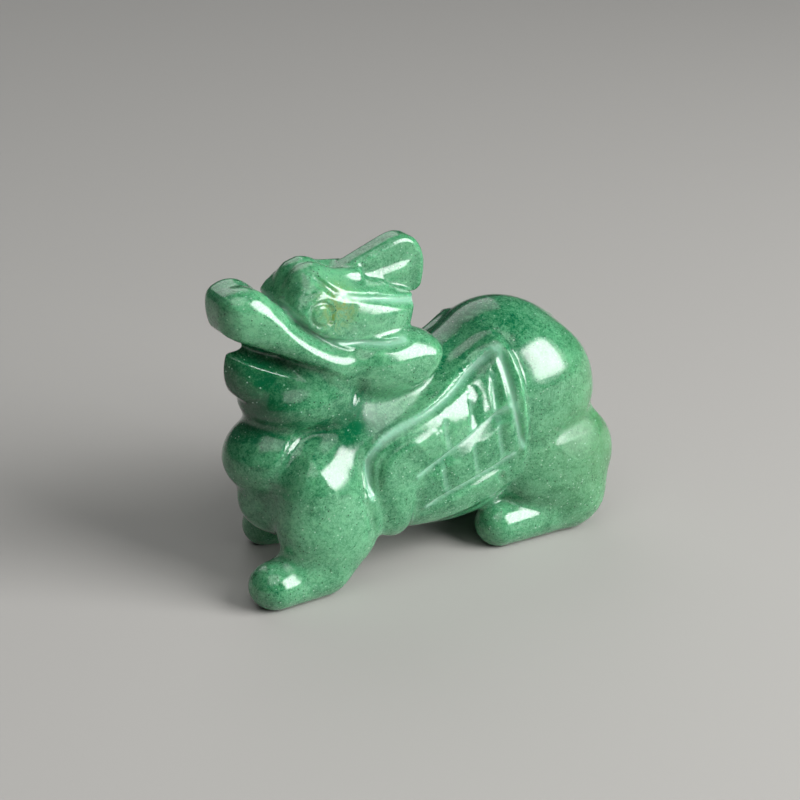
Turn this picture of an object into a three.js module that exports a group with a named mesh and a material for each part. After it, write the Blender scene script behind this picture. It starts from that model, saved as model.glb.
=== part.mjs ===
import * as THREE from 'three';

// A pixiu, the winged guardian lion of East Asia, carved from one pebble of green aventurine and polished.
// Millimetres, +Z up. The head is at -X, the tail at +X, and the origin is on the ground under the middle.
// The figure's left is -Y. Both sides are carved alike, but the left front leg steps forward and the right
// wing is cut lower.

// Driving sizes
const figureLength = 53;
const figureWidth = 22.5;
const figureHeight = 41;
const grooveBank = 0.5;
const grooveDepth = 0.5;
const featherBank = 1.9;
const featherDepth = 0.75;
const foldBank = 1.4;
const foldDepth = 0.5;
const wingRise = 0.9;
const rayRise = 0.35;
const mouthBank = 1.4;
const mouthDepth = 1.4;
const eyeRadius = 1.35;
const eyeRingBank = 0.4;
const eyeRingDepth = 0.2;
const footFlatness = 1.1;
const gridStep = 0.5;
const triangleBudget = 9600;

const clamp = (v, low, high) => Math.min(high, Math.max(low, v));

// Nought below `low`, one above `high`, and an even curve between them.
function ease(v, low, high) {
  const t = clamp((v - low) / (high - low), 0, 1);
  return t * t * (3 - 2 * t);
}

// Forms. They are drawn a little off the middle; the finished figure is centred and stretched to its sizes.
// Each one gives the distance from a point to its surface, negative inside.

function egg({ at, radii, pitch = 0, yaw = 0 }) {
  const [rx, ry, rz] = radii;
  const turn = new THREE.Euler(0, pitch * THREE.MathUtils.DEG2RAD, yaw * THREE.MathUtils.DEG2RAD);
  const m = new THREE.Matrix4().makeRotationFromEuler(turn).transpose().elements;
  return (px, py, pz) => {
    const x = px - at[0];
    const y = py - at[1];
    const z = pz - at[2];
    const a = (m[0] * x + m[4] * y + m[8] * z) / rx;
    const b = (m[1] * x + m[5] * y + m[9] * z) / ry;
    const c = (m[2] * x + m[6] * y + m[10] * z) / rz;
    const far = Math.hypot(a, b, c);
    const slope = Math.max(Math.hypot(a / rx, b / ry, c / rz), 1e-6);
    return (far * (far - 1)) / slope;
  };
}

// A rod between two points with a round end at each, as thick as the two radii.
function limb(from, to, fromRadius, toRadius) {
  const a = new THREE.Vector3(...from);
  const d = new THREE.Vector3(...to).sub(a);
  return (px, py, pz) => {
    const x = px - a.x;
    const y = py - a.y;
    const z = pz - a.z;
    const t = clamp((x * d.x + y * d.y + z * d.z) / d.lengthSq(), 0, 1);
    const thick = fromRadius + (toRadius - fromRadius) * t;
    return Math.hypot(x - t * d.x, y - t * d.y, z - t * d.z) - thick;
  };
}

// The lines between neighbouring points, seen from the side.
function edgesOf(points, closed) {
  const path = closed ? [...points, points[0]] : points;
  return path.slice(1).map(([endX, endZ], i) => {
    const [x, z] = path[i];
    return { x, z, dx: endX - x, dz: endZ - z };
  });
}

function squareFrom(edge, px, pz) {
  const x = px - edge.x;
  const z = pz - edge.z;
  const t = clamp((x * edge.dx + z * edge.dz) / (edge.dx ** 2 + edge.dz ** 2), 0, 1);
  return (x - t * edge.dx) ** 2 + (z - t * edge.dz) ** 2;
}

// The line with each corner cut off at a quarter of the sides that meet there. An open line keeps its ends.
function softened(line, closed) {
  const next = (i) => line[(i + 1) % line.length];
  const quarter = ([x, z], [farX, farZ]) => [x + (farX - x) / 4, z + (farZ - z) / 4];
  const soft = line.flatMap((point, i) => [quarter(point, next(i)), quarter(next(i), point)]);
  return closed ? soft : [line[0], ...soft.slice(1, -3), line[line.length - 1]];
}

// How far a point is outside an outline drawn from the side.
function outlineDistance(outline) {
  const edges = edgesOf(softened(softened(outline, true), true), true);
  return (px, pz) => {
    let near = Infinity;
    let inside = false;
    for (const edge of edges) {
      near = Math.min(near, squareFrom(edge, px, pz));
      const x = px - edge.x;
      const z = pz - edge.z;
      const crossing = (z >= 0) !== (z >= edge.dz);
      if (crossing && (edge.dz > 0) === (edge.dx * z > edge.dz * x)) inside = !inside;
    }
    return inside ? -Math.sqrt(near) : Math.sqrt(near);
  };
}

// A slab on the middle plane, with its outline drawn from the side. It is `half` thick from the middle
// at the point `at`, and `spread` more for each millimetre back and each millimetre up from there.
function slab({ outline, at = [0, 0], half, spread = [0, 0], round }) {
  const rim = outlineDistance(outline);
  return (px, side, pz) => {
    const thick = half + spread[0] * (px - at[0]) + spread[1] * (pz - at[1]);
    const a = rim(px, pz) + round;
    const b = side - thick + round;
    return Math.min(Math.max(a, b), 0) + Math.hypot(Math.max(a, 0), Math.max(b, 0)) - round;
  };
}

// How deep the lines are cut at a point seen from the side. The banks of a line reach `left` and `right`
// of the way that it is drawn, and it gets shallower towards its ends.
function cutsOf(lines) {
  const cuts = lines.map(({ points, left, right, depth }) => {
    const path = points.length > 2 ? softened(softened(points, false), false) : points;
    return { edges: edgesOf(path, false), ends: [path[0], path[path.length - 1]], left, right, depth };
  });
  return (px, pz) => Math.max(...cuts.map(({ edges, ends, left, right, depth }) => {
    const share = 1 - Math.min(...edges.map((edge) => {
      const onLeft = edge.dx * (pz - edge.z) > edge.dz * (px - edge.x);
      return squareFrom(edge, px, pz) / (onLeft ? left : right) ** 2;
    }));
    if (share <= 0) return 0;
    const width = left + right;
    const toEnd = Math.min(...ends.map(([x, z]) => Math.hypot(px - x, pz - z)));
    return depth * ease(toEnd, -0.3 * width, 1.2 * width) * share ** 2;
  }));
}

function blend(a, b, fillet) {
  const h = Math.max(fillet - Math.abs(a - b), 0) / fillet;
  return Math.min(a, b) - (h * h * fillet) / 4;
}

function cut(a, b, fillet) {
  return -blend(-a, b, fillet);
}

// Trunk
const loin = egg({ at: [13.8, 0, 19.2], radii: [10, 9.4, 10.9] });
const rump = egg({ at: [17.2, 0, 16.2], radii: [8.6, 9, 9.8] });
const barrel = egg({ at: [-1, 0, 15.8], radii: [16, 9.2, 10.7], pitch: -8 });
const flank = egg({ at: [4, 5, 12.9], radii: [14, 4.4, 8.5] });
const breast = egg({ at: [-15.3, 0, 16.2], radii: [8.4, 6.6, 5.8] });
const breastFoot = egg({ at: [-13.5, 0, 10.6], radii: [8.4, 6.2, 5.6] });
const collar = egg({ at: [-14.2, 0, 23.4], radii: [7.2, 6.4, 4] });
const neck = limb([-9.6, 0, 19], [-11, 0, 27], 6.8, 6.2);
const tail = [
  limb([15, 0, 28.4], [20.8, 0, 25.2], 1.3, 1.6),
  limb([20.8, 0, 25.2], [25.2, 0, 18.6], 1.6, 1.9),
  limb([25.2, 0, 18.6], [25.8, 0, 14], 1.9, 1.9),
  limb([25.8, 0, 14], [24.2, 0, 8.6], 1.9, 1.2),
];

// Hind legs
const thigh = egg({ at: [16, 4.8, 19], radii: [8.4, 4.8, 8.2] });
const shank = egg({ at: [18.8, 6.4, 9.6], radii: [8.4, 4.6, 7.6] });
const heel = egg({ at: [21.1, 6.9, 4.6], radii: [4.7, 3.9, 4.5] });
const hindFoot = limb([20.4, 6.5, 3.1], [10.4, 6.7, 2.7], 3.5, 3);

// Front legs
const shoulder = limb([-15.2, 5.2, 14.6], [-6, 4.2, 19.5], 4.4, 2.2);
const leftShin = egg({ at: [-13.8, -6.8, 9], radii: [6.6, 4.1, 7.2], pitch: -15 });
const leftFoot = limb([-15, -6.2, 2.8], [-21.2, -6.8, 2.8], 3.4, 3.2);
const rightShin = egg({ at: [-11.2, 7, 7.6], radii: [7, 4.1, 7.2], pitch: -8 });
const rightFoot = limb([-9.6, 8, 2.6], [-14.8, 8.3, 2.5], 2.9, 2.7);
const wingRoot = egg({ at: [-5.6, 7.0, 11.6], radii: [3.8, 3.0, 6] });

// Head
const skull = egg({ at: [-10.5, 0, 31], radii: [7, 5, 6] });
const brow = egg({ at: [-12.8, 1.2, 36.9], radii: [3.1, 2.5, 3] });
const crown = limb([-13, 1.8, 37.8], [-7.2, 1.8, 37.4], 1.4, 1.1);
const eyeAt = [-13.5, 34.9];
const eye = egg({ at: [eyeAt[0], 4.6, eyeAt[1]], radii: [1.7, 0.9, 1.7] });
const cheek = slab({
  outline: [
    [-17.6, 35.4], [-13.5, 39.2], [-9.5, 38], [-3.6, 35.2], [0.6, 34.6],
    [-0.4, 32.2], [-2.4, 29.6], [-6.9, 28.6], [-11.2, 29.4], [-15, 32.5],
  ],
  at: [-12, 34], half: 5.4, spread: [-0.06, -0.16], round: 2.2,
});
const mane = egg({ at: [-5.6, 2.4, 32.3], radii: [5.4, 3.3, 4], pitch: 8 });
const crest = slab({
  outline: [
    [-12.5, 36.6], [-8.2, 38.6], [-3.6, 40.3], [-0.8, 41.3], [1.2, 40.8],
    [2.4, 39.2], [2.8, 36.8], [1.8, 33], [-8.6, 34],
  ],
  at: [-4, 38], half: 1.6, spread: [0.03, -0.02], round: 0.9,
});
const lip = slab({
  outline: [
    [-24.8, 37.6], [-23, 38.5], [-20.2, 38.1], [-17.4, 35.6], [-15, 33], [-11, 30.4], [-7.4, 30.2],
    [-4.3, 30.4], [-1, 30], [1.4, 29.2], [1.9, 27.4], [-0.3, 25], [-4.3, 23.2], [-7.8, 22.6],
    [-10, 24.8], [-13, 27.2], [-17.8, 29.8], [-21.6, 31.3], [-23.6, 32], [-24.8, 34.4],
  ],
  at: [-12, 28], half: 5.7, spread: [0.18, 0], round: 2.2,
});
const nape = limb([-1, 0, 32], [5, 0, 24], 3, 4.2);
const lipRidge = limb([-21.4, 1.8, 36], [-12, 4.4, 28], 2, 2.2);
const fringe = egg({ at: [-4.3, 4.2, 27.2], radii: [6.2, 4, 3.6], pitch: 6 });
const jaw = slab({
  outline: [
    [-20.6, 33], [-23, 32], [-23.9, 29], [-23.2, 25.6], [-21.2, 23.8], [-17.6, 23.2],
    [-10.5, 22.2], [-8.6, 24.5], [-11, 26.8], [-17, 31],
  ],
  at: [-12, 25.5], half: 5.7, spread: [0.27, -0.28], round: 2.6,
});

// The mouth is a wide cut between the lip and the jaw, all the way round.
const mouth = cutsOf([{
  points: [[-25.6, 32.7], [-23.2, 31.6], [-21, 30.4], [-17.8, 29], [-14.8, 27.9], [-12.4, 26.6]],
  left: mouthBank,
  right: mouthBank,
  depth: mouthDepth,
}]);

// Lines cut in the head, drawn from the side
const headCuts = cutsOf([
  {
    // the eye socket and the lower edge of the mane
    points: [
      [-16.8, 35.6], [-15.9, 34.2], [-13.9, 32.2], [-12.2, 31.3], [-9.1, 30.7], [-7, 30.4], [-5.1, 30.2],
      [-3.4, 30.4],
    ],
    left: grooveBank,
    right: grooveBank * 1.6,
    depth: grooveDepth * 0.9,
  },
  {
    // the hollow between the eye and the lip
    points: [[-17.2, 36.2], [-15.9, 34.2], [-13.9, 32.2], [-12.2, 31.3], [-9.6, 30.8]],
    left: grooveBank,
    right: grooveBank * 4.6,
    depth: grooveDepth * 1.1,
  },
  {
    // behind the brow
    points: [[-13.6, 39.6], [-13.1, 38.6], [-12.4, 37.8], [-11.6, 37.1], [-10.4, 36.5]],
    left: grooveBank * 1.4,
    right: grooveBank * 1.4,
    depth: grooveDepth * 0.8,
  },
  {
    // between the crest and the mane
    points: [[-10.4, 36.5], [-7.6, 35.7], [-4.7, 35], [-1.9, 34.2], [1, 33.6], [3.6, 33.2]],
    left: grooveBank,
    right: grooveBank * 1.6,
    depth: grooveDepth * 0.7,
  },
  {
    // between the jaw and the beard
    points: [[-9, 25.8], [-9.7, 24.6], [-10.8, 23.4]],
    left: grooveBank * 1.6,
    right: grooveBank * 1.6,
    depth: grooveDepth * 0.7,
  },
]);

// Lines that stand up: the ray of the crest and the front of the wing
const raisedLines = cutsOf([
  {
    points: [[-10.6, 36.2], [-7.7, 36.4], [-4.4, 36.5], [-1.4, 37], [1.4, 37.6]],
    left: 1.1,
    right: 1.3,
    depth: rayRise,
  },
  {
    points: [[-8, 12], [-7.9, 14.6], [-7.3, 16.4], [-6, 17.5], [-4.4, 18.1], [-1.4, 18.7]],
    left: 0.9,
    right: 1.6,
    depth: rayRise,
  },
]);

// The wing: its raised outline, the cuts inside its rim, the rows of feathers and the cuts across them
const wing = outlineDistance([
  [-10.2, 11], [-10, 14], [-9.8, 16], [-8.8, 18.6], [-7.2, 19.6], [-5.2, 20.4], [-3, 21.4], [-0.5, 22.8],
  [3.5, 24.8], [6, 26.2], [8.2, 27.4], [10.6, 28.1], [11.4, 24.6], [11.7, 20.4], [12.2, 16], [12.4, 11.8],
  [10.6, 8.4], [4, 6.2], [-2, 5.2], [-8, 5.4],
]);
const wingLead = [
  [-9.6, 12.4], [-9.7, 15.4], [-9.2, 17.4], [-7.4, 19.1], [-5.2, 20], [-3.2, 20.7], [0.8, 22.1], [4.7, 23.7],
  [6.8, 24.9], [9.2, 26.6],
];
const upperRow = [[-3.4, 13.9], [-1.7, 14.7], [1.4, 16.3], [5.5, 18.1], [8.2, 19.4], [9.8, 20.3]];
const lowerRow = [[-1.6, 9], [0.4, 10], [3.6, 11], [5.6, 11.6], [8.1, 12.3], [10.4, 13.5]];
const featherCuts = [
  [[0.5, 20.6], [0.4, 18.2], [0.8, 16.4]],
  [[4.6, 22], [4.4, 19.6], [3.9, 17.6]],
  [[8, 24], [7.8, 21.4], [7.6, 19.3]],
  [[-0.2, 15.4], [0.3, 12.8], [1, 10.4]],
  [[4.2, 17.4], [4.6, 14.4], [5.2, 11.8]],
  [[8.1, 19], [8.2, 16], [8.8, 13]],
];
const flankCuts = cutsOf([
  { points: wingLead, left: grooveBank, right: grooveBank * 1.6, depth: grooveDepth },
  { points: upperRow, left: grooveBank, right: featherBank, depth: featherDepth },
  { points: lowerRow, left: grooveBank, right: featherBank * 0.9, depth: featherDepth * 0.85 },
  ...featherCuts.map((points) => (
    { points, left: featherBank * 0.8, right: grooveBank, depth: featherDepth * 0.45 }
  )),
  {
    // the rear edge of the wing
    points: [[9.7, 26.8], [9.7, 24.7], [9.9, 21.9], [10.4, 18.6], [11, 16.2], [11.6, 14.2]],
    left: grooveBank,
    right: grooveBank * 2,
    depth: grooveDepth * 0.7,
  },
  {
    // between the chest and the shoulder
    points: [[-20, 15], [-19.2, 16.6], [-17.1, 19], [-15.4, 20.3], [-11.6, 21.6]],
    left: foldBank,
    right: foldBank,
    depth: foldDepth,
  },
  {
    // behind the front leg
    points: [[-10.4, 12.6], [-9.6, 9.6], [-9.6, 6.8]],
    left: foldBank * 0.8,
    right: foldBank * 0.8,
    depth: foldDepth * 0.7,
  },
  {
    // behind the root of the wing
    points: [[-3.2, 12.6], [-3.1, 9.6], [-3.3, 6.4]],
    left: foldBank * 0.85,
    right: foldBank * 0.85,
    depth: foldDepth * 0.6,
  },
  {
    // across the haunch
    points: [[24.6, 16.6], [23, 15.7], [20.3, 15.1], [17.2, 14.9], [15, 14]],
    left: foldBank,
    right: foldBank,
    depth: foldDepth * 0.8,
  },
]);

function stone(x, y, z) {
  const side = Math.abs(y);
  let body = blend(loin(x, y, z), rump(x, y, z), 4);
  body = blend(body, barrel(x, y, z), 3);
  body = blend(body, flank(x, side, z), 3);
  body = blend(body, neck(x, y, z), 3);
  body = blend(body, breastFoot(x, y, z), 2);
  body = blend(body, breast(x, y, z), 1.6);
  body = blend(body, collar(x, y, z), 2);
  body = blend(body, thigh(x, side, z), 2.4);
  body = blend(body, shank(x, side, z), 1.4);
  body = blend(body, heel(x, side, z), 1.6);
  body = blend(body, shoulder(x, side, z), 1.2);
  body = blend(body, leftShin(x, y, z), 2.4);
  body = blend(body, leftFoot(x, y, footFlatness * z), 2.4);
  body = blend(body, rightShin(x, y, z), 1.6);
  body = blend(body, rightFoot(x, y, z), 1.6);
  body = blend(body, hindFoot(x, side, z), 0.8);
  body = blend(body, wingRoot(x, side, z), 0.8);
  for (const length of tail) body = blend(body, length(x, y, z), 0.5);

  let head = blend(skull(x, y, z), cheek(x, side, z), 0.6);
  head = blend(head, mane(x, side, z), 1);
  head = blend(head, brow(x, side, z), 0.8);
  head = blend(head, crown(x, side, z), 0.8);
  head = blend(head, crest(x, side, z), 0.6);
  head = blend(head, eye(x, side, z), 0.3);
  let muzzle = cut(lip(x, side, z), nape(x, side, z), 1.2);
  muzzle = blend(muzzle, lipRidge(x, side, z), 1.6);
  muzzle = blend(muzzle, fringe(x, side, z), 2.6);
  muzzle = blend(muzzle, jaw(x, side, z), 0.4) + mouth(x, z);
  head = blend(head, muzzle, 0.7);

  let d = blend(body, head, 0.8);
  if (Math.abs(d) > 2) return d;
  const onFlank = ease(side, 3, 5);
  if (onFlank > 0) {
    const rise = wingRise * (0.3 + 0.7 * ease(z, 10, 22)) * (y < 0 ? 1 : 0.6);
    d -= rise * (1 - ease(wing(x, z), -0.5, 0.5)) * onFlank;
    d += flankCuts(x, z) * onFlank;
  }
  const onHead = ease(side, 0.3, 1);
  if (onHead > 0 && x < 5) {
    d -= raisedLines(x, z) * onHead;
    if (z > 22) d += headCuts(x, z) * onHead;
  }
  const fromEye = Math.hypot(x - eyeAt[0], z - eyeAt[1]);
  const ring = 1 - ((fromEye - eyeRadius) / eyeRingBank) ** 2;
  return ring > 0 ? d + eyeRingDepth * ring ** 2 * ease(side, 3, 4) : d;
}

// A net over the surface: the space is a grid of cells, and each sheet of the surface in a cell gets one
// point. The points are joined in fours round each edge of the grid that the surface crosses.
function meshOf(field, low, high, step) {
  const n = low.map((l, i) => Math.ceil((high[i] - l) / step) + 1);
  const strides = [1, n[0], n[0] * n[1]];
  const value = new Float64Array(n[0] * n[1] * n[2]);
  for (let k = 0; k < n[2]; k++) {
    for (let j = 0; j < n[1]; j++) {
      for (let i = 0; i < n[0]; i++) {
        const at = [i, j, k].map((cells, axis) => low[axis] + cells * step);
        value[i + j * strides[1] + k * strides[2]] = field(...at);
      }
    }
  }

  // A cell's corners are numbered by their bits. Its edges run from a corner along an axis.
  const corners = [...Array(8).keys()].map((c) => [c & 1, (c >> 1) & 1, (c >> 2) & 1]);
  const cellEdges = corners.flatMap((at, c) => {
    const axes = [0, 1, 2].filter((axis) => at[axis] === 0);
    return axes.map((axis) => ({ c, axis, ends: [c, c | (1 << axis)] }));
  });
  const edgeNumber = (c, axis) => cellEdges.findIndex((edge) => edge.c === c && edge.axis === axis);
  const edgesOnFace = (axis, bit) => {
    const onFace = (edge) => edge.ends.every((end) => corners[end][axis] === bit);
    return cellEdges.map((edge, e) => (onFace(edge) ? e : -1)).filter((e) => e >= 0);
  };
  const cellFaces = [0, 1, 2].flatMap((axis) => [edgesOnFace(axis, 0), edgesOnFace(axis, 1)]);

  // The crossed edges of a cell, in one group for each sheet. Two sheets that meet on a face part there.
  const sheetsOf = (v) => {
    const group = cellEdges.map(({ ends: [a, b] }, e) => (v[a] < 0 !== v[b] < 0 ? e : -1));
    const join = (e, f) => {
      const [from, to] = [group[e], group[f]];
      group.forEach((g, i) => { if (g === from) group[i] = to; });
    };
    for (const face of cellFaces) {
      const crossed = face.filter((e) => group[e] >= 0);
      if (crossed.length === 2) join(...crossed);
      if (crossed.length < 4) continue;
      for (let c = 0; c < 8; c++) {
        const round = crossed.filter((e) => cellEdges[e].ends.includes(c));
        if (round.length === 2 && v[c] < 0) join(...round);
      }
    }
    return group;
  };

  const points = [];
  const pointOf = new Map();
  for (let k = 0; k < n[2] - 1; k++) {
    for (let j = 0; j < n[1] - 1; j++) {
      for (let i = 0; i < n[0] - 1; i++) {
        const here = i + j * strides[1] + k * strides[2];
        const v = corners.map(([a, b, c]) => value[here + a + b * strides[1] + c * strides[2]]);
        const inside = v.filter((d) => d < 0).length;
        if (inside === 0 || inside === 8) continue;
        const group = sheetsOf(v);
        const mine = new Int32Array(12);
        for (const sheet of new Set(group.filter((g) => g >= 0))) {
          const crossed = cellEdges.filter((_, e) => group[e] === sheet);
          const sum = [0, 0, 0];
          for (const { ends: [a, b] } of crossed) {
            const t = v[a] / (v[a] - v[b]);
            for (let axis = 0; axis < 3; axis++) {
              sum[axis] += corners[a][axis] + (corners[b][axis] - corners[a][axis]) * t;
            }
          }
          group.forEach((g, e) => { if (g === sheet) mine[e] = points.length; });
          points.push([i, j, k].map((g, axis) => low[axis] + (g + sum[axis] / crossed.length) * step));
        }
        pointOf.set(here, mine);
      }
    }
  }

  const faces = [];
  for (let k = 1; k < n[2] - 1; k++) {
    for (let j = 1; j < n[1] - 1; j++) {
      for (let i = 1; i < n[0] - 1; i++) {
        const here = i + j * strides[1] + k * strides[2];
        for (let axis = 0; axis < 3; axis++) {
          if (value[here] < 0 === value[here + strides[axis]] < 0) continue;
          const u = (axis + 1) % 3;
          const w = (axis + 2) % 3;
          const round = [[1, 1], [0, 1], [0, 0], [1, 0]].map(([back, down]) => {
            const cell = here - back * strides[u] - down * strides[w];
            return pointOf.get(cell)[edgeNumber((back << u) | (down << w), axis)];
          });
          const [a, b, c, d] = round;
          if (value[here] < 0) faces.push([a, b, c], [a, c, d]);
          else faces.push([a, c, b], [a, d, c]);
        }
      }
    }
  }
  return { points, faces };
}

// Moves each point along the slope of the field until it is on the surface.
function settle(points, field, rounds) {
  const h = 0.02;
  for (const p of points) {
    for (let round = 0; round < rounds; round++) {
      const d = field(...p);
      const gx = (field(p[0] + h, p[1], p[2]) - field(p[0] - h, p[1], p[2])) / (2 * h);
      const gy = (field(p[0], p[1] + h, p[2]) - field(p[0], p[1] - h, p[2])) / (2 * h);
      const gz = (field(p[0], p[1], p[2] + h) - field(p[0], p[1], p[2] - h)) / (2 * h);
      const scale = clamp(d / Math.max(gx * gx + gy * gy + gz * gz, 0.2), -0.25, 0.25);
      p[0] -= gx * scale;
      p[1] -= gy * scale;
      p[2] -= gz * scale;
    }
  }
}

// Thins the mesh. The edge whose loss moves the surface least goes first, and its two ends become one point.
// Each point keeps the planes of the faces that have met in it, as the sum of their squared distances.
function thin({ points, faces }, budget) {
  const quadrics = points.map(() => new Float64Array(10));
  const facesOf = points.map(() => new Set());
  const version = new Int32Array(points.length);
  const alive = faces.map(() => true);
  const normalOf = (a, b, c) => {
    const [ux, uy, uz] = [b[0] - a[0], b[1] - a[1], b[2] - a[2]];
    const [vx, vy, vz] = [c[0] - a[0], c[1] - a[1], c[2] - a[2]];
    return [uy * vz - uz * vy, uz * vx - ux * vz, ux * vy - uy * vx];
  };
  faces.forEach((face, f) => {
    const [a, b, c] = face.map((i) => points[i]);
    const normal = normalOf(a, b, c);
    const size = Math.hypot(...normal);
    const [x, y, z] = size > 0 ? normal.map((v) => v / size) : [0, 0, 0];
    const w = -(x * a[0] + y * a[1] + z * a[2]);
    const plane = [x * x, x * y, x * z, x * w, y * y, y * z, y * w, z * z, z * w, w * w];
    for (const i of face) {
      plane.forEach((v, k) => { quadrics[i][k] += v * size; });
      facesOf[i].add(f);
    }
  });
  const costAt = (q, [x, y, z]) =>
    q[0] * x * x + 2 * q[1] * x * y + 2 * q[2] * x * z + 2 * q[3] * x + q[4] * y * y
    + 2 * q[5] * y * z + 2 * q[6] * y + q[7] * z * z + 2 * q[8] * z + q[9];
  const proposal = (i, j) => {
    const q = quadrics[i].map((v, k) => v + quadrics[j][k]);
    const middle = points[i].map((v, k) => (v + points[j][k]) / 2);
    const choices = [middle, points[i], points[j]];
    const [a, b, c, d, e, f] = [q[0], q[1], q[2], q[4], q[5], q[7]];
    const det = a * (d * f - e * e) - b * (b * f - e * c) + c * (b * e - d * c);
    if (Math.abs(det) > 1e-9 * (q[0] + q[4] + q[7]) ** 3) {
      const [r, s, t] = [-q[3], -q[6], -q[8]];
      const best = [
        (r * (d * f - e * e) - b * (s * f - e * t) + c * (s * e - d * t)) / det,
        (a * (s * f - e * t) - r * (b * f - e * c) + c * (b * t - s * c)) / det,
        (a * (d * t - s * e) - b * (b * t - s * c) + r * (b * e - d * c)) / det,
      ];
      const reach = Math.hypot(...points[i].map((v, k) => v - points[j][k]));
      if (Math.hypot(...best.map((v, k) => v - middle[k])) < reach) choices.unshift(best);
    }
    const costs = choices.map((p) => costAt(q, p));
    const pick = costs.indexOf(Math.min(...costs));
    const length = Math.hypot(...points[i].map((v, k) => v - points[j][k]));
    return { i, j, at: choices[pick], q, cost: Math.max(costs[pick], 0) + length * 1e-6 };
  };

  const heap = [];
  const push = (item) => {
    let child = heap.push(item) - 1;
    while (child > 0) {
      const parent = (child - 1) >> 1;
      if (heap[parent].cost <= heap[child].cost) break;
      [heap[parent], heap[child]] = [heap[child], heap[parent]];
      child = parent;
    }
  };
  const pop = () => {
    const top = heap[0];
    const last = heap.pop();
    if (heap.length === 0) return top;
    heap[0] = last;
    let parent = 0;
    for (;;) {
      let least = parent;
      for (const child of [2 * parent + 1, 2 * parent + 2]) {
        if (child < heap.length && heap[child].cost < heap[least].cost) least = child;
      }
      if (least === parent) return top;
      [heap[parent], heap[least]] = [heap[least], heap[parent]];
      parent = least;
    }
  };
  const offer = (i, j) => push({ ...proposal(i, j), marks: [version[i], version[j]] });
  const neighbours = (i) => {
    const all = new Set();
    for (const f of facesOf[i]) for (const v of faces[f]) if (v !== i) all.add(v);
    return all;
  };
  points.forEach((_, i) => {
    for (const j of neighbours(i)) if (i < j) offer(i, j);
  });

  // A face that would turn over or become a sliver stops the move.
  const turnsOver = (i, j, at) => {
    for (const f of facesOf[i]) {
      if (faces[f].includes(j)) continue;
      const old = faces[f].map((v) => points[v]);
      const next = faces[f].map((v) => (v === i ? at : points[v]));
      const before = normalOf(...old);
      const after = normalOf(...next);
      const dot = before[0] * after[0] + before[1] * after[1] + before[2] * after[2];
      if (dot < 0.3 * Math.hypot(...before) * Math.hypot(...after)) return true;
      const sides = next.map((p, k) => Math.hypot(...p.map((v, m) => v - next[(k + 1) % 3][m])));
      if (Math.hypot(...after) < 0.04 * Math.max(...sides) ** 2) return true;
    }
    return false;
  };

  let left = faces.length;
  while (left > budget && heap.length > 0) {
    const { i, j, at, q, marks } = pop();
    if (marks[0] !== version[i] || marks[1] !== version[j]) continue;
    const around = neighbours(j);
    const shared = [...neighbours(i)].filter((v) => around.has(v));
    if (shared.length !== 2) continue;
    if (turnsOver(i, j, at) || turnsOver(j, i, at)) continue;
    for (const f of facesOf[j]) {
      if (faces[f].includes(i)) {
        alive[f] = false;
        left--;
        for (const v of faces[f]) if (v !== j) facesOf[v].delete(f);
      } else {
        faces[f] = faces[f].map((v) => (v === j ? i : v));
        facesOf[i].add(f);
      }
    }
    facesOf[j].clear();
    points[i] = at;
    quadrics[i] = q;
    version[i]++;
    version[j]++;
    for (const v of neighbours(i)) offer(i, v);
  }
  return { points, faces: faces.filter((_, f) => alive[f]) };
}

// The box round the whole figure goes a little below the ground, where the soles are pressed flat.
const rough = meshOf(stone, [-27, -13, -1.6], [30, 13, 43], gridStep);
settle(rough.points, stone, 2);
for (const p of rough.points) p[2] = Math.max(p[2], 0);
const carved = thin(rough, triangleBudget);

const used = [...new Set(carved.faces.flat())];
const numberOf = new Map(used.map((v, i) => [v, i]));
const geometry = new THREE.BufferGeometry();
const positions = used.flatMap((v) => carved.points[v].map((p) => (Math.abs(p) < 0.02 ? 0 : p)));
geometry.setAttribute('position', new THREE.Float32BufferAttribute(positions, 3));
geometry.setIndex(carved.faces.flat().map((v) => numberOf.get(v)));
geometry.computeBoundingBox();
const middle = geometry.boundingBox.getCenter(new THREE.Vector3());
const drawn = geometry.boundingBox.getSize(new THREE.Vector3());
geometry.translate(-middle.x, -middle.y, 0);
geometry.scale(figureLength / drawn.x, figureWidth / drawn.y, figureHeight / drawn.z);
geometry.computeVertexNormals();

const material = new THREE.MeshStandardMaterial({ color: 0x4f9a6c, roughness: 0.12, metalness: 0 });
const pixiu = new THREE.Mesh(geometry, material);
pixiu.name = 'pixiu';

const figure = new THREE.Group();
figure.add(pixiu);

export default figure;
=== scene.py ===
import math

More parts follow.
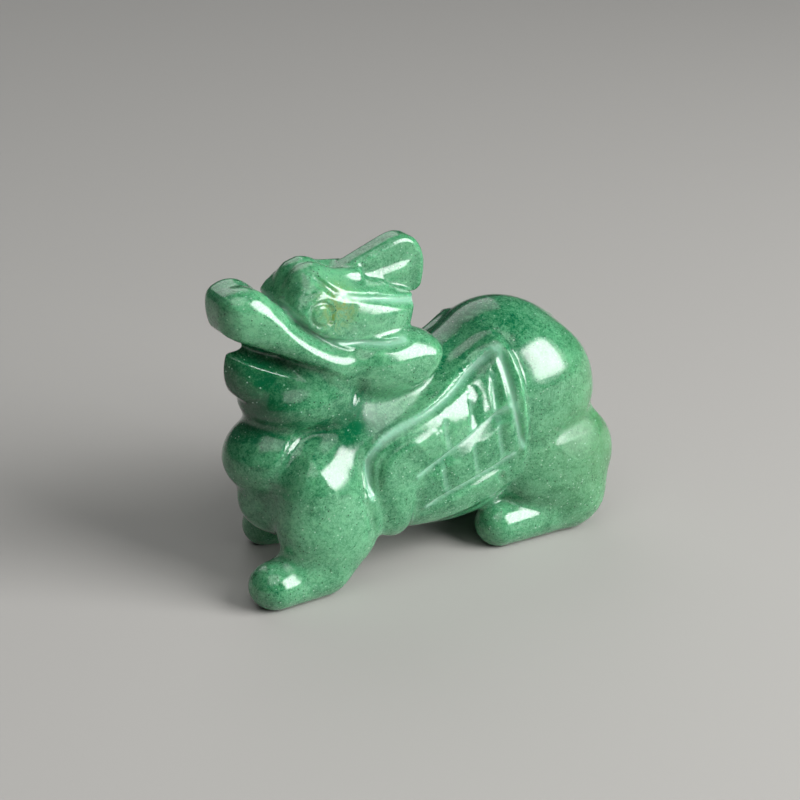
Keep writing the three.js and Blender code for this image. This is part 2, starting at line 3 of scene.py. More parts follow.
import bpy
import numpy as np
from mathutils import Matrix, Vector


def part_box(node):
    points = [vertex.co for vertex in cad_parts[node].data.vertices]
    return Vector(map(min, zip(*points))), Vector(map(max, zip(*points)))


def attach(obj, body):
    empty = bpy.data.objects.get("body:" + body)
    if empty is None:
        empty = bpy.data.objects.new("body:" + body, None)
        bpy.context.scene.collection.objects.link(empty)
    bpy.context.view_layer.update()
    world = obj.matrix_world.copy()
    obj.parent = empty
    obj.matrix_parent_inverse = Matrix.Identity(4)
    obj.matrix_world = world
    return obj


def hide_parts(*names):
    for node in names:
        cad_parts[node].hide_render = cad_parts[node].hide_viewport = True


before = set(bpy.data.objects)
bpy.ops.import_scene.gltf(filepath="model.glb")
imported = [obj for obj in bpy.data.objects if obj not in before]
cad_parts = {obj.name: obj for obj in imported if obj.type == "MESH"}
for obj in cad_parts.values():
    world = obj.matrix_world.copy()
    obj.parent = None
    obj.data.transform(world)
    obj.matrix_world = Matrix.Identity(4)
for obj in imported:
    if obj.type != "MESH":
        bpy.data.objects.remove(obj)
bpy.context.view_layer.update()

# THE CARVED STONE
# A pixiu cut from one pebble of green aventurine, a quartz full of green mica. Wheels rough out its
# forms and cut the lines of the wings, crest and mane, and then it is tumbled and polished all over.
# It is carved here in millimetres: x runs back from the head, y to its right, and z up.


def ease(v, low, high):
    """Nought below low, one above high, and an even curve between."""
    t = np.clip((v - low) / (high - low), 0, 1)
    return t * t * (3 - 2 * t)


def egg(at, radii, pitch=0.0):
    """An egg with the three radii, its tail end raised by the pitch in degrees."""
    c, s = math.cos(math.radians(pitch)), math.sin(math.radians(pitch))
    rx, ry, rz = radii

    def reach(x, y, z):
        dx, dy, dz = x - at[0], y - at[1], z - at[2]
        a, b, e = (c * dx - s * dz) / rx, dy / ry, (s * dx + c * dz) / rz
        aa, bb, ee = a * a, b * b, e * e
        far = np.sqrt(aa + bb + ee)
        slope = np.maximum(np.sqrt(aa / rx**2 + bb / ry**2 + ee / rz**2), 1e-6)
        return far * (far - 1) / slope

    return reach


def limb(start, end, start_radius, end_radius):
    """A rod with a round end at each of two points, as thick as the two radii."""
    ax, ay, az = start
    dx, dy, dz = (e - s for s, e in zip(start, end))
    long = dx * dx + dy * dy + dz * dz

    def reach(x, y, z):
        px, py, pz = x - ax, y - ay, z - az
        t = np.clip((px * dx + py * dy + pz * dz) / long, 0, 1)
        near = np.sqrt((px - t * dx) ** 2 + (py - t * dy) ** 2 + (pz - t * dz) ** 2)
        return near - start_radius - (end_radius - start_radius) * t

    return reach


def square_from(edge, x, z):
    """The square of the distance from an edge that is drawn from the side."""
    (ex, ez), (fx, fz) = edge
    dx, dz = fx - ex, fz - ez
    px, pz = x - ex, z - ez
    t = np.clip((px * dx + pz * dz) / (dx * dx + dz * dz), 0, 1)
    return (px - t * dx) ** 2 + (pz - t * dz) ** 2


def softened(line, closed=True):
    """The line with each corner cut off at a quarter of the sides that meet there."""
    ends = list(zip(line, line[1:] + line[:1])) if closed else list(zip(line, line[1:]))
    soft = []
    for (x, z), (nx, nz) in ends:
        soft += [(x + (nx - x) / 4, z + (nz - z) / 4)]
        soft += [(nx - (nx - x) / 4, nz - (nz - z) / 4)]
    return soft if closed else [line[0]] + soft[1:-1] + [line[-1]]


def outline_reach(outline):
    """How far a point is outside an outline that is drawn from the side."""
    line = softened(softened(outline))
    edges = list(zip(line, line[1:] + line[:1]))

    def reach(x, z):
        near = np.full(np.broadcast(x, z).shape, np.inf)
        inside = np.zeros(near.shape, bool)
        for edge in edges:
            (ex, ez), (fx, fz) = edge
            np.minimum(near, square_from(edge, x, z), out=near)
            crossing = (z >= ez) != (z >= fz)
            left = (fz > ez) == ((fx - ex) * (z - ez) > (fz - ez) * (x - ex))
            inside ^= crossing & left
        return np.where(inside, -1, 1) * np.sqrt(near)

    return reach


def slab(outline, half, rounding, at=(0, 0), spread=(0, 0)):
    """A slab across the middle plane, as thick to each side as half says at the place that is named,
    and thicker by the spread for each millimetre back and up from there."""
    rim = outline_reach(outline)

    def reach(x, side, z):
        thick = half + spread[0] * (x - at[0]) + spread[1] * (z - at[1])
        a, b = rim(x, z) + rounding, side - thick + rounding
        corner = np.hypot(np.maximum(a, 0), np.maximum(b, 0))
        return np.minimum(np.maximum(a, b), 0) + corner - rounding

    return reach


def blend(a, b, fillet):
    """Two forms in one, with a fillet where they meet."""
    h = np.maximum(fillet - np.abs(a - b), 0) / fillet
    return np.minimum(a, b) - h * h * fillet / 4


# Trunk
loin = egg((13.8, 0, 19.2), (10, 9.4, 10.9))
rump = egg((17.2, 0, 16.2), (8.6, 9, 9.8))
barrel = egg((-1, 0, 15.8), (16, 9.2, 10.7), -8)
flank = egg((4, 5, 12.9), (14, 4.4, 8.5))
breast = egg((-15.3, 0, 16.2), (8.4, 6.6, 5.8))
breast_foot = egg((-13.5, 0, 10.6), (8.4, 6.2, 5.6))
collar = egg((-14.2, 0, 23.4), (7.2, 6.4, 4))
neck = limb((-9.6, 0, 19), (-11, 0, 27), 6.8, 6.2)
tail = [
    limb((15, 0, 28.4), (20.8, 0, 25.2), 1.3, 1.6),
    limb((20.8, 0, 25.2), (25.2, 0, 18.6), 1.6, 1.9),
    limb((25.2, 0, 18.6), (25.8, 0, 14), 1.9, 1.9),
    limb((25.8, 0, 14), (24.2, 0, 8.6), 1.9, 1.2),
]

# Hind legs
thigh = egg((16, 4.8, 19), (8.4, 4.8, 8.2))
shank = egg((18.8, 6.4, 9.6), (8.4, 4.6, 7.6))
heel = egg((21.1, 6.9, 4.6), (4.7, 3.9, 4.5))
hind_foot = limb((20.4, 6.5, 3.1), (10.4, 6.7, 2.7), 3.5, 3)

# Front legs, the left one a step ahead
shoulder = limb((-15.2, 5.2, 14.6), (-6, 4.2, 19.5), 4.4, 2.2)
left_shin = egg((-13.8, -6.8, 9), (6.6, 4.1, 7.2), -15)
left_foot = limb((-15, -6.2, 2.8), (-21.2, -6.8, 2.8), 3.4, 3.2)
foot_flatness = 1.1
right_shin = egg((-11.2, 7, 7.6), (7, 4.1, 7.2), -8)
right_foot = limb((-9.6, 8, 2.6), (-14.8, 8.3, 2.5), 2.9, 2.7)
wing_root = egg((-5.6, 7, 11.6), (3.8, 3, 6))

# Head
skull = egg((-10.5, 0, 31), (7, 5, 6))
brow = egg((-12.8, 1.2, 36.9), (3.1, 2.5, 3))
crown = limb((-13, 1.8, 37.8), (-7.2, 1.8, 37.4), 1.4, 1.1)
eye_at, eye_radius = (-13.5, 34.9), 1.35
eye_ring_bank, eye_ring_depth = 0.4, 0.2
eye = egg((eye_at[0], 4.6, eye_at[1]), (1.7, 0.9, 1.7))
cheek = slab(
    [
        (-17.6, 35.4), (-13.5, 39.2), (-9.5, 38), (-3.6, 35.2), (0.6, 34.6),
        (-0.4, 32.2), (-2.4, 29.6), (-6.9, 28.6), (-11.2, 29.4), (-15, 32.5),
    ],
    half=5.4, rounding=2.2, at=(-12, 34), spread=(-0.06, -0.16),
)
mane = egg((-5.6, 2.4, 32.3), (5.4, 3.3, 4), 8)
crest = slab(
    [
        (-12.5, 36.6), (-8.2, 38.6), (-3.6, 40.3), (-0.8, 41.3), (1.2, 40.8),
        (2.4, 39.2), (2.8, 36.8), (1.8, 33), (-8.6, 34),
    ],
    half=1.6, rounding=0.9, at=(-4, 38), spread=(0.03, -0.02),
)
lip = slab(
    [
        (-24.8, 37.6), (-23, 38.5), (-20.2, 38.1), (-17.4, 35.6), (-15, 33), (-11, 30.4), (-7.4, 30.2),
        (-4.3, 30.4), (-1, 30), (1.4, 29.2), (1.9, 27.4), (-0.3, 25), (-4.3, 23.2), (-7.8, 22.6),
        (-10, 24.8), (-13, 27.2), (-17.8, 29.8), (-21.6, 31.3), (-23.6, 32), (-24.8, 34.4),
    ],
    half=5.7, rounding=2.2, at=(-12, 28), spread=(0.18, 0),
)
nape = limb((-1, 0, 32), (5, 0, 24), 3, 4.2)
lip_ridge = limb((-21.4, 1.8, 36), (-12, 4.4, 28), 2, 2.2)
fringe = egg((-4.3, 4.2, 27.2), (6.2, 4, 3.6), 6)
jaw = slab(
    [
        (-20.6, 33), (-23, 32), (-23.9, 29), (-23.2, 25.6), (-21.2, 23.8), (-17.6, 23.2),
        (-10.5, 22.2), (-8.6, 24.5), (-11, 26.8), (-17, 31),
    ],
    half=5.7, rounding=2.6, at=(-12, 25.5), spread=(0.27, -0.28),
)

# The folded wing stands out from the flank, less on the right side and towards the belly.
wing_rise, right_wing_share, low_wing_share = 0.9, 0.6, 0.3
wing_outline = [
    (-10.2, 11), (-10, 14), (-9.8, 16), (-8.8, 18.6), (-7.2, 19.6), (-5.2, 20.4), (-3, 21.4),
    (-0.5, 22.8), (3.5, 24.8), (6, 26.2), (8.2, 27.4), (10.6, 28.1), (11.4, 24.6), (11.7, 20.4),
    (12.2, 16), (12.4, 11.8), (10.6, 8.4), (4, 6.2), (-2, 5.2), (-8, 5.4),
]
wing = outline_reach(wing_outline)

# Each line that the wheel cuts fades out round its ends, from a little way before them to a little
# way along it, as shares of its width.
fade_before, fade_along = 0.3, 1.2


def cut(points, left, right, depth):
    """A line cut in both sides, as it is seen from the side: how far its banks reach to the left and
    to the right of the way that it is drawn, and its depth."""
    line = softened(softened(points, False), False) if len(points) > 2 else points
    return line, left, right, depth


wing_edges = [
    cut(
        [
            (-9.6, 12.4), (-9.7, 15.4), (-9.2, 17.4), (-7.4, 19.1), (-5.2, 20), (-3.2, 20.7),
            (0.8, 22.1), (4.7, 23.7), (6.8, 24.9), (9.2, 26.6),
        ],
        left=0.5, right=0.8, depth=0.5,
    ),
    cut(
        [(9.7, 26.8), (9.7, 24.7), (9.9, 21.9), (10.4, 18.6), (11, 16.2), (11.6, 14.2)],
        left=0.5, right=1, depth=0.35,
    ),
]
feather_rows = [
    cut(
        [(-3.4, 13.9), (-1.7, 14.7), (1.4, 16.3), (5.5, 18.1), (8.2, 19.4), (9.8, 20.3)],
        left=0.5, right=1.9, depth=0.75,
    ),
    cut(
        [(-1.6, 9), (0.4, 10), (3.6, 11), (5.6, 11.6), (8.1, 12.3), (10.4, 13.5)],
        left=0.5, right=1.7, depth=0.65,
    ),
]
cuts_across_feathers = [
    cut([(0.5, 20.6), (0.4, 18.2), (0.8, 16.4)], left=1.5, right=0.5, depth=0.25),
    cut([(4.6, 22), (4.4, 19.6), (3.9, 17.6)], left=1.7, right=0.5, depth=0.5),
    cut([(8, 24), (7.8, 21.4), (7.6, 19.3)], left=1.2, right=0.5, depth=0.35),
    cut([(-0.2, 15.4), (0.3, 12.8), (1, 10.4)], left=1.6, right=0.5, depth=0.3),
    cut([(4.2, 17.4), (4.6, 14.4), (5.2, 11.8)], left=1.6, right=0.5, depth=0.3),
    cut([(8.1, 19), (8.2, 16), (8.8, 13)], left=1.4, right=0.5, depth=0.3),
]
short_cuts_below = [
    cut([(0.8, 9.6), (1.1, 8.1)], left=0.9, right=0.4, depth=0.25),
    cut([(4.2, 11), (4.7, 9)], left=0.9, right=0.4, depth=0.25),
    cut([(8.4, 11.8), (9.3, 9)], left=0.9, right=0.4, depth=0.25),
]
chest_fold = cut(
    [(-20, 15), (-19.2, 16.6), (-17.1, 19), (-15.4, 20.3), (-11.6, 21.6)],
    left=1.4, right=1.4, depth=0.5,
)
foreleg_fold = cut([(-10.4, 12.6), (-9.6, 9.6), (-9.6, 6.8)], left=1.1, right=1.1, depth=0.35)
wing_root_fold = cut([(-3.2, 12.6), (-3.1, 9.6), (-3.3, 6.4)], left=1.2, right=1.2, depth=0.3)
haunch_fold = cut(
    [(24.6, 16.6), (23, 15.7), (20.3, 15.1), (17.2, 14.9), (15, 14)],
    left=1.5, right=1.5, depth=0.4,
)
flank_lines = [
    *wing_edges, *feather_rows, *cuts_across_feathers, *short_cuts_below,
    chest_fold, foreleg_fold, wing_root_fold, haunch_fold,
]

mane_edge = cut(
    [
        (-16.8, 35.6), (-15.9, 34.2), (-13.9, 32.2), (-12.2, 31.3), (-9.1, 30.7), (-7, 30.4),
        (-5.1, 30.2), (-3.4, 30.4),
    ],
    left=0.5, right=0.8, depth=0.45,
)
eye_socket = cut(
    [(-17.2, 36.2), (-15.9, 34.2), (-13.9, 32.2), (-12.2, 31.3), (-9.6, 30.8)],
    left=0.5, right=2.3, depth=0.55,
)
brow_back = cut(
    [(-13.6, 39.6), (-13.1, 38.6), (-12.4, 37.8), (-11.6, 37.1), (-10.4, 36.5)],
    left=0.7, right=0.7, depth=0.4,
)
eyelid = cut([(-15.4, 36.9), (-13.4, 37.5)], left=0.4, right=0.4, depth=0.2)
crest_edge = cut(
    [(-10.4, 36.5), (-7.6, 35.7), (-4.7, 35), (-1.9, 34.2), (1, 33.6), (3.6, 33.2)],
    left=0.5, right=0.8, depth=0.35,
)
beard_fold = cut([(-9, 25.8), (-9.7, 24.6), (-10.8, 23.4)], left=0.8, right=0.8, depth=0.35)
head_lines = [mane_edge, eye_socket, brow_back, eyelid, crest_edge, beard_fold]
mouth = cut(
    [(-25.6, 32.7), (-23.2, 31.6), (-21, 30.4), (-17.8, 29), (-14.8, 27.9), (-12.4, 26.6)],
    left=1.4, right=1.4, depth=1.4,
)

# Two lines are left standing where the stone round them is cut away.
crest_ray = cut(
    [(-10.6, 36.2), (-7.7, 36.4), (-4.4, 36.5), (-1.4, 37), (1.4, 37.6)],
    left=1.1, right=1.3, depth=0.33,
)
wing_front = cut(
    [(-8, 12), (-7.9, 14.6), (-7.3, 16.4), (-6, 17.5), (-4.4, 18.1), (-1.4, 18.7)],
    left=0.9, right=1.6, depth=0.35,
)


def cut_depth(cuts, x, z):
    """How deep the lines are cut at a point seen from the side."""
    deepest = np.zeros(np.broadcast(x, z).shape)
    for line, left, right, depth in cuts:
        near = np.full(deepest.shape, np.inf)
        for edge in zip(line, line[1:]):
            (ex, ez), (fx, fz) = edge
            bank = np.where((fx - ex) * (z - ez) > (fz - ez) * (x - ex), left, right)
            np.minimum(near, square_from(edge, x, z) / bank**2, out=near)
        first, last = ((x - end[0]) ** 2 + (z - end[1]) ** 2 for end in (line[0], line[-1]))
        width = left + right
        from_end = np.sqrt(np.minimum(first, last))
        taper = ease(from_end, -fade_before * width, fade_along * width)
        np.maximum(deepest, depth * taper * np.maximum(1 - near, 0) ** 2, out=deepest)
    return deepest


def in_bottom(cuts, x, z, reach):
    """One in the bottom of the cuts, and nought farther from their middle than the reach."""
    nearest = np.full(np.broadcast(x, z).shape, np.inf)
    for line, *_ in cuts:
        for edge in zip(line, line[1:]):
            np.minimum(nearest, square_from(edge, x, z), out=nearest)
    return 1 - ease(np.sqrt(nearest), 0.15 * reach, reach)


def stone(x, y, z):
    """The distance from a point to the stone's surface, less than nought inside."""
    side = np.abs(y)
    body = blend(loin(x, y, z), rump(x, y, z), 4)
    body = blend(body, barrel(x, y, z), 3)
    body = blend(body, flank(x, side, z), 3)
    body = blend(body, neck(x, y, z), 3)
    body = blend(body, breast_foot(x, y, z), 2)
    body = blend(body, breast(x, y, z), 1.6)
    body = blend(body, collar(x, y, z), 2)
    body = blend(body, thigh(x, side, z), 2.4)
    body = blend(body, shank(x, side, z), 1.4)
    body = blend(body, heel(x, side, z), 1.6)
    body = blend(body, shoulder(x, side, z), 1.2)
    body = blend(body, left_shin(x, y, z), 2.4)
    body = blend(body, left_foot(x, y, foot_flatness * z), 2.4)
    body = blend(body, right_shin(x, y, z), 1.6)
    body = blend(body, right_foot(x, y, z), 1.6)
    body = blend(body, hind_foot(x, side, z), 0.8)
    body = blend(body, wing_root(x, side, z), 0.8)
    for length in tail:
        body = blend(body, length(x, y, z), 0.5)

    head = blend(skull(x, y, z), cheek(x, side, z), 0.6)
    head = blend(head, mane(x, side, z), 1)
    head = blend(head, brow(x, side, z), 0.8)
    head = blend(head, crown(x, side, z), 0.8)
    head = blend(head, crest(x, side, z), 0.6)
    head = blend(head, eye(x, side, z), 0.3)
    muzzle = -blend(-lip(x, side, z), nape(x, side, z), 1.2)
    muzzle = blend(muzzle, lip_ridge(x, side, z), 1.6)
    muzzle = blend(muzzle, fringe(x, side, z), 2.6)
    muzzle = blend(muzzle, jaw(x, side, z), 0.4) + cut_depth([mouth], x, z)
    head = blend(head, muzzle, 0.7)

    d = blend(body, head, 0.8)
    on_flank = ease(side, 3, 5)
    off_middle = ease(side, 0.3, 1)
    rise = wing_rise * (low_wing_share + (1 - low_wing_share) * ease(z, 10, 22))
    rise = rise * np.where(y < 0, 1, right_wing_share)
    d = d - rise * (1 - ease(wing(x, z), -0.5, 0.5)) * on_flank
    d = d + cut_depth(flank_lines, x, z) * on_flank
    raised = cut_depth([crest_ray, wing_front], x, z)
    d = d + (cut_depth(head_lines, x, z) - raised) * off_middle
    from_eye = np.sqrt((x - eye_at[0]) ** 2 + (z - eye_at[1]) ** 2)
    from_ring = (from_eye - eye_radius) / eye_ring_bank
    return d + eye_ring_depth * np.maximum(1 - from_ring**2, 0) ** 2 * ease(side, 3, 4)


def surface_net(field, low, high, step):
    """One point in each cell of a grid that the surface crosses, in fours round each crossed edge."""
    x, y, z = (np.arange(l, h + step, step) for l, h in zip(low, high))
    value = field(x[:, None, None], y[None, :, None], z[None, None, :])
    shape = tuple(n - 1 for n in value.shape)
    total = np.zeros(shape + (3,))
    count = np.zeros(shape)

    def corner(a, b, c):
        return value[a:a + shape[0], b:b + shape[1], c:c + shape[2]]

    # Each point is the middle of the places where its cell's edges go through the surface.
    for axis in range(3):
        for first in ((0, 0), (0, 1), (1, 0), (1, 1)):
            start = list(first)
            start.insert(axis, 0)
            end = list(start)
            end[axis] = 1
            a, b = corner(*start), corner(*end)
            crossed = (a < 0) != (b < 0)
            t = np.where(crossed, a / np.where(crossed, a - b, 1), 0)
            count += crossed
            for other in range(3):
                total[..., other] += t if other == axis else crossed * start[other]
    active = count > 0
    number = np.full(shape, -1)
    number[active] = np.arange(active.sum())
    cell = np.argwhere(active)
    points = np.array(low) + (cell + total[active] / count[active][:, None]) * step

    # The four cells round a crossed edge make one face, which looks outwards.
    quads = []
    for axis in range(3):
        u, w = (axis + 1) % 3, (axis + 2) % 3
        reach = [slice(1, n) for n in shape]
        ahead = [slice(1, n) for n in shape]
        ahead[axis] = slice(2, shape[axis] + 1)
        a, b = value[tuple(reach)], value[tuple(ahead)]
        at = np.argwhere((a < 0) != (b < 0)) + 1
        inward = a[tuple((at - 1).T)] < 0
        ring = []
        for back, down in ((1, 1), (0, 1), (0, 0), (1, 0)):
            cell = at.copy()
            cell[:, u] -= back
            cell[:, w] -= down
            ring.append(number[tuple(cell.T)])
        ring = np.stack(ring, 1)
        quads.append(np.where(inward[:, None], ring, ring[:, ::-1]))
    return points, np.concatenate(quads)


def slope_at(field, points, span):
    """Which way, and how steeply, the distance grows at each point, taken over the span to each side."""
    slope = np.empty_like(points)
    for axis in range(3):
        ahead, behind = points.copy(), points.copy()
        ahead[:, axis] += span
        behind[:, axis] -= span
        slope[:, axis] = (field(*ahead.T) - field(*behind.T)) / (2 * span)
    return slope


# The net covers a block a little larger than the figure. Its points are then pulled on to the surface,
# the soles are ground flat, and the faces are shaded as smoothly as the polish leaves them.
block_low, block_high = (-27, -13, -1.6), (30, 13, 43)
grid_step, pulls = ((0.32, 2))
farthest_pull, flattest_slope = 0.25, 0.2
points, quads = surface_net(stone, block_low, block_high, grid_step)
for _ in range(pulls):
    slope = slope_at(stone, points, 0.05)
    pull = stone(*points.T) / np.maximum((slope**2).sum(1), flattest_slope)
    points -= slope * np.clip(pull, -farthest_pull, farthest_pull)[:, None]
points[:, 2] = np.maximum(points[:, 2], 0)
normals = slope_at(stone, points, 0.12)
normals[points[:, 2] <= 0] = (0, 0, -1)
normals /= np.linalg.norm(normals, axis=1)[:, None]

# The polish doesn't reach the bottom of the narrowest lines. There the stone is painted paler, partly
# for its frosted surface and partly as a painted highlight along the lines.
x, side, z = points[:, 0], np.abs(points[:, 1]), points[:, 2]
bare_and_sheen_on_wing = np.maximum(
    in_bottom(wing_edges + feather_rows, x, z, 0.6), 0.4 * in_bottom(cuts_across_feathers, x, z, 0.5),
)
bare_and_sheen_on_head = in_bottom([mane_edge, crest_edge], x, z, 0.6)
bare_and_sheen = np.maximum(bare_and_sheen_on_wing * ease(side, 3, 5), bare_and_sheen_on_head * ease(side, 0.3, 1))

# The figure is set into the box of the solid.
drawn_low, drawn_high = points.min(0), points.max(0)
box_low, box_high = (np.array(corner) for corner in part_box("pixiu"))
stretch = (box_high - box_low) / (drawn_high - drawn_low)
points = box_low + (points - drawn_low) * stretch

mesh = bpy.data.meshes.new("pixiu_stone")
mesh.from_pydata(points.tolist(), [], quads.tolist())
mesh.polygons.foreach_set("use_smooth", np.ones(len(quads), bool))
mesh.normals_split_custom_set_from_vertices(normals.tolist())
mesh.attributes.new("unpolished_and_sheen", "FLOAT", "POINT").data.foreach_set("value", bare_and_sheen)
pixiu = bpy.data.objects.new("pixiu_stone", mesh)
bpy.context.scene.collection.objects.link(pixiu)

# Green aventurine: milky clouds in deep green quartz, a fine grain, specks of dark mica and a few
# bright flakes
aventurine = bpy.data.materials.new("green_aventurine")
aventurine.use_nodes = True
nodes, links = aventurine.node_tree.nodes, aventurine.node_tree.links
nodes.clear()
finish = nodes.new("ShaderNodeOutputMaterial")
shader = nodes.new("ShaderNodeBsdfPrincipled")
links.new(shader.outputs["BSDF"], finish.inputs["Surface"])
place = nodes.new("ShaderNodeTexCoord").outputs["Object"]


def veins(lumps, detail, rough, distortion=0.0):
    """Uneven parts of the stone, with about so many lumps in a millimetre."""
    noise = nodes.new("ShaderNodeTexNoise")
    noise.inputs["Scale"].default_value = lumps * 1000
    noise.inputs["Detail"].default_value = detail
    noise.inputs["Roughness"].default_value = rough
    noise.inputs["Distortion"].default_value = distortion
    links.new(place, noise.inputs["Vector"])
    return noise.outputs["Fac"]


def stepped(value, low, high, to_low=0.0, to_high=1.0):
    """An even step, from to_low where the value is under low up to to_high where it is over high."""
    step = nodes.new("ShaderNodeMapRange")
    step.interpolation_type = "SMOOTHSTEP"
    links.new(value, step.inputs["Value"])
    step.inputs["From Min"].default_value, step.inputs["From Max"].default_value = low, high
    step.inputs["To Min"].default_value, step.inputs["To Max"].default_value = to_low, to_high
    return step.outputs["Result"]


def worked_out(kind, a, b):
    node = nodes.new("ShaderNodeMath")
    node.operation = kind
    for socket, value in zip(node.inputs, (a, b)):
        if isinstance(value, (int, float)):
            socket.default_value = value
        else:
            links.new(value, socket)
    return node.outputs["Value"]


def plus(a, b):
    return worked_out("ADD", a, b)


def times(a, b):
    return worked_out("MULTIPLY", a, b)


def tinted(share, under, over):
    """The colour under, turned into the colour over as far as the share says."""
    mix = nodes.new("ShaderNodeMix")
    mix.data_type = "RGBA"
    links.new(share, mix.inputs["Factor"])
    for socket, colour in ((mix.inputs["A"], under), (mix.inputs["B"], over)):
        if isinstance(colour, tuple):
            socket.default_value = (*colour, 1)
        else:
            links.new(colour, socket)
    return mix.outputs["Result"]


def part_of_stone(at, radius):
    """One inside a round part of the stone, fading to nought at its edge, in millimetres."""
    gap = nodes.new("ShaderNodeVectorMath")
    gap.operation = "DISTANCE"
    links.new(place, gap.inputs[0])
    gap.inputs[1].default_value = [v / 1000 for v in at]
    return stepped(gap.outputs["Value"], radius * 0.25 / 1000, radius / 1000, 1, 0)


clouds = stepped(veins(0.22, 6, 0.65, 1.2), 0.3, 0.7)
wisps = stepped(veins(0.8, 4, 0.7, 2), 0.35, 0.65)
crystals = stepped(veins(2, 2, 0.6), 0.35, 0.65)
grain = stepped(veins(4.8, 4, 0.8), 0.36, 0.64)
milk_and_painted_light = -0.14
for texture, share in ((clouds, 0.42), (wisps, 0.34), (crystals, 0.18), (grain, 0.44)):
    milk_and_painted_light = plus(milk_and_painted_light, times(texture, share))

# Parts of the stone made lighter or darker, each with its middle, its radius, and how much milk is added
# or taken away there. On the jaw, the chest and the side of the neck the darkening is painted shade, and
# on the brow and the snout the lightening is painted light; the back is made darker, and the fringe, the
# mane, the left foreleg and the haunch a little lighter.
milk_and_painted_light_in_part = {
    "back": ((7, 0, 28), 13, -0.4),
    "jaw": ((-22, 0, 24), 11, -0.45),
    "chest": ((-17, 0, 14), 10, -0.5),
    "fringe": ((-4, -8, 27), 7, 0.15),
    "mane": ((-8, -6, 33), 8, 0.12),
    "brow": ((-12.5, -3, 38), 5, 0.4),
    "snout": ((-22, -5, 35), 6, 0.25),
    "side of the neck": ((-12, -6, 21), 6, -0.5),
    "left foreleg": ((-15, -9, 8), 9, 0.16),
    "haunch": ((22, -6, 10), 12, 0.05),
}
# The painted shade and painted light above go into the milk with the stone's own clouds and grain.
for at, radius, more in milk_and_painted_light_in_part.values():
    milk_and_painted_light = plus(milk_and_painted_light, times(part_of_stone(at, radius), more))

# Flakes of mica, nearly three to a millimetre, of which a few are dark and a few are bright
mica = nodes.new("ShaderNodeTexVoronoi")
mica.inputs["Scale"].default_value = 2800
links.new(place, mica.inputs["Vector"])
kinds = nodes.new("ShaderNodeSeparateColor")
links.new(mica.outputs["Color"], kinds.inputs["Color"])
flake = stepped(mica.outputs["Distance"], 0.18, 0.36, 1, 0)
dark_flake = times(flake, stepped(kinds.outputs["Red"], 0.86, 0.9))
bright_flake = times(flake, stepped(kinds.outputs["Green"], 0.9, 0.94))

groove = nodes.new("ShaderNodeAttribute")
groove.attribute_name = "unpolished_and_sheen"
unpolished_and_sheen = groove.outputs["Fac"]

clear_green, milky_green = (0, 0.115, 0.042), (0.128, 0.375, 0.199)
olive_stain, haunch_green, jaw_shade_green = (0.13, 0.2, 0.035), (0.1, 0.2, 0.075), (0.001, 0.045, 0.012)
# The pale green of the lines is partly the frosted stone and partly a painted highlight.
dark_mica, bright_mica, frosted_and_sheen_green = (0.003, 0.04, 0.017), (0.36, 0.58, 0.44), (0.3, 0.6, 0.44)
beside_left_eye = times(part_of_stone((-12.9, -4.8, 35.3), 4), wisps)
haunches = part_of_stone((26, -4, 12), 20)
# Painted shade: the jaw is turned very dark green, as if in the shade of the lip.
painted_shade_under_jaw = part_of_stone((-22, 0, 25), 9)
colour = tinted(milk_and_painted_light, clear_green, milky_green)
for share, strength, over in (
    (beside_left_eye, 0.9, olive_stain), (haunches, 0.4, haunch_green), (painted_shade_under_jaw, 0.6, jaw_shade_green),
    (dark_flake, 0.8, dark_mica), (bright_flake, 0.6, bright_mica), (unpolished_and_sheen, 0.6, frosted_and_sheen_green),
):
    colour = tinted(times(share, strength), colour, over)
links.new(colour, shader.inputs["Base Color"])

# The polish is a little coarser on the grain and the flakes, and dull on the left side of the neck, on
# the left haunch and in the lines.
finest, coarsest, dull_finish, line_finish = 0.04, 0.08, 0.44, 0.3
gloss, gloss_lost = 0.35, -0.33
dull_neck, dull_haunch = part_of_stone((-6.8, -7, 21.8), 6), part_of_stone((18.8, -10.1, 14), 5.5)
dull = plus(dull_neck, dull_haunch)
pitted = plus(times(grain, 0.6), times(bright_flake, 0.5))
polish = plus(stepped(pitted, 0.3, 0.9, finest, coarsest), times(dull, dull_finish))
links.new(plus(polish, times(unpolished_and_sheen, line_finish)), shader.inputs["Roughness"])
links.new(plus(times(dull, gloss_lost), gloss), shader.inputs["Coat Weight"])
shader.inputs["Coat Roughness"].default_value = 0.03
shader.inputs["Coat IOR"].default_value = 1.5
shader.inputs["IOR"].default_value = 1.54
# Light goes up to two or three millimetres into the stone, green the farthest.
shader.inputs["Subsurface Weight"].default_value = 0.75
shader.inputs["Subsurface Radius"].default_value = (0.3, 1.0, 0.6)
shader.inputs["Subsurface Scale"].default_value = 0.0025
bump = nodes.new("ShaderNodeBump")
bump.inputs["Strength"].default_value = 0.2
bump.inputs["Distance"].default_value = 0.00003
links.new(plus(times(grain, 0.5), times(bright_flake, -0.5)), bump.inputs["Height"])
links.new(bump.outputs["Normal"], shader.inputs["Normal"])
mesh.materials.append(aventurine)

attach(pixiu, "root")
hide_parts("pixiu")

# FLOOR, LIGHTS AND CAMERA
# A plain pale floor, a soft light to the right of the camera, weaker ones above and behind, and a
# camera that looks down on the figure from its left and in front, as in the photograph.
floor_mesh = bpy.data.meshes.new("floor")
floor_mesh.from_pydata([(-3, -3, 0), (3, -3, 0), (3, 3, 0), (-3, 3, 0)], [], [(0, 1, 2, 3)])
floor = bpy.data.objects.new("floor", floor_mesh)
bpy.context.scene.collection.objects.link(floor)
floor_paint = bpy.data.materials.new("floor_paint")
floor_paint.use_nodes = True
paint = floor_paint.node_tree.nodes["Principled BSDF"]
paint.inputs["Base Color"].default_value = (0.38, 0.37, 0.353, 1)
paint.inputs["Roughness"].default_value = 0.7
floor_mesh.materials.append(floor_paint)

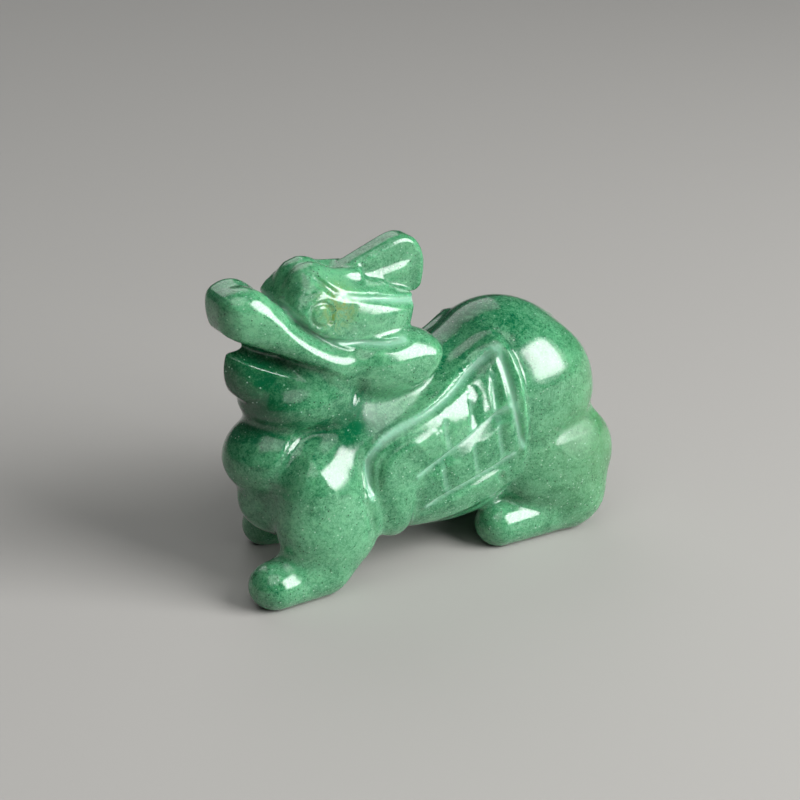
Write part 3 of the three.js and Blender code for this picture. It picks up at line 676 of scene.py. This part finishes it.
room = bpy.data.worlds.new("room")
bpy.context.scene.world = room
room.use_nodes = True
room_light = room.node_tree.nodes["Background"]
room_light.inputs["Color"].default_value = (0.8, 0.9, 0.9, 1)
room_light.inputs["Strength"].default_value = 0.06

figure_middle = Vector((0, 0, 0.018))


def way_out(azimuth, elevation):
    """The way out from the figure. Azimuth 0 is towards its left side, and 90 is behind its tail."""
    a, e = math.radians(azimuth), math.radians(elevation)
    return Vector((math.sin(a) * math.cos(e), -math.cos(a) * math.cos(e), math.sin(e)))


def softbox(name, azimuth, elevation, away, width, height, power):
    """A soft light that faces the figure, with its sizes in metres and its power in watts."""
    out = way_out(azimuth, elevation)
    light = bpy.data.lights.new(name, "AREA")
    light.shape = "RECTANGLE"
    light.size, light.size_y, light.energy = width, height, power
    lamp = bpy.data.objects.new(name, light)
    lamp.location = figure_middle + out * away
    lamp.rotation_euler = out.to_track_quat("Z", "Y").to_euler()
    bpy.context.scene.collection.objects.link(lamp)


softbox("key_softbox", 37, 28, 0.6, 0.42, 0.46, 7.2)
softbox("top_softbox", -40, 62, 0.6, 0.5, 0.5, 1.2)
softbox("back_softbox", 170, 40, 1.2, 0.9, 0.9, 3)
bpy.context.scene.view_settings.view_transform = "Standard"

# The camera's aim is a place in the stone before it was centred, and it shows at a pixel a little off
# the middle of the picture.
off_centre = ((drawn_low + drawn_high) / 2)[:2]
aim = (Vector((-0.6, -3.5, 18)) - Vector((*off_centre, 0))) / 1000
aim_distance, view_width = 0.25, 0.0975
picture_width, aim_pixel = 800, (410, 420)
camera_azimuth, camera_elevation = -31, 23
back = way_out(camera_azimuth, camera_elevation)
right = way_out(camera_azimuth + 90, 0)
up = back.cross(right)
off_right, off_down = ((at - picture_width / 2) / picture_width * view_width for at in aim_pixel)
lens = bpy.data.cameras.new("camera")
lens.sensor_width = 36
lens.sensor_fit = "HORIZONTAL"
lens.lens = lens.sensor_width * aim_distance / view_width
lens.clip_start = 0.01
camera = bpy.data.objects.new("camera", lens)
camera.location = aim + back * aim_distance - right * off_right + up * off_down
camera.rotation_euler = back.to_track_quat("Z", "Y").to_euler()
bpy.context.scene.collection.objects.link(camera)
bpy.context.scene.camera = camera
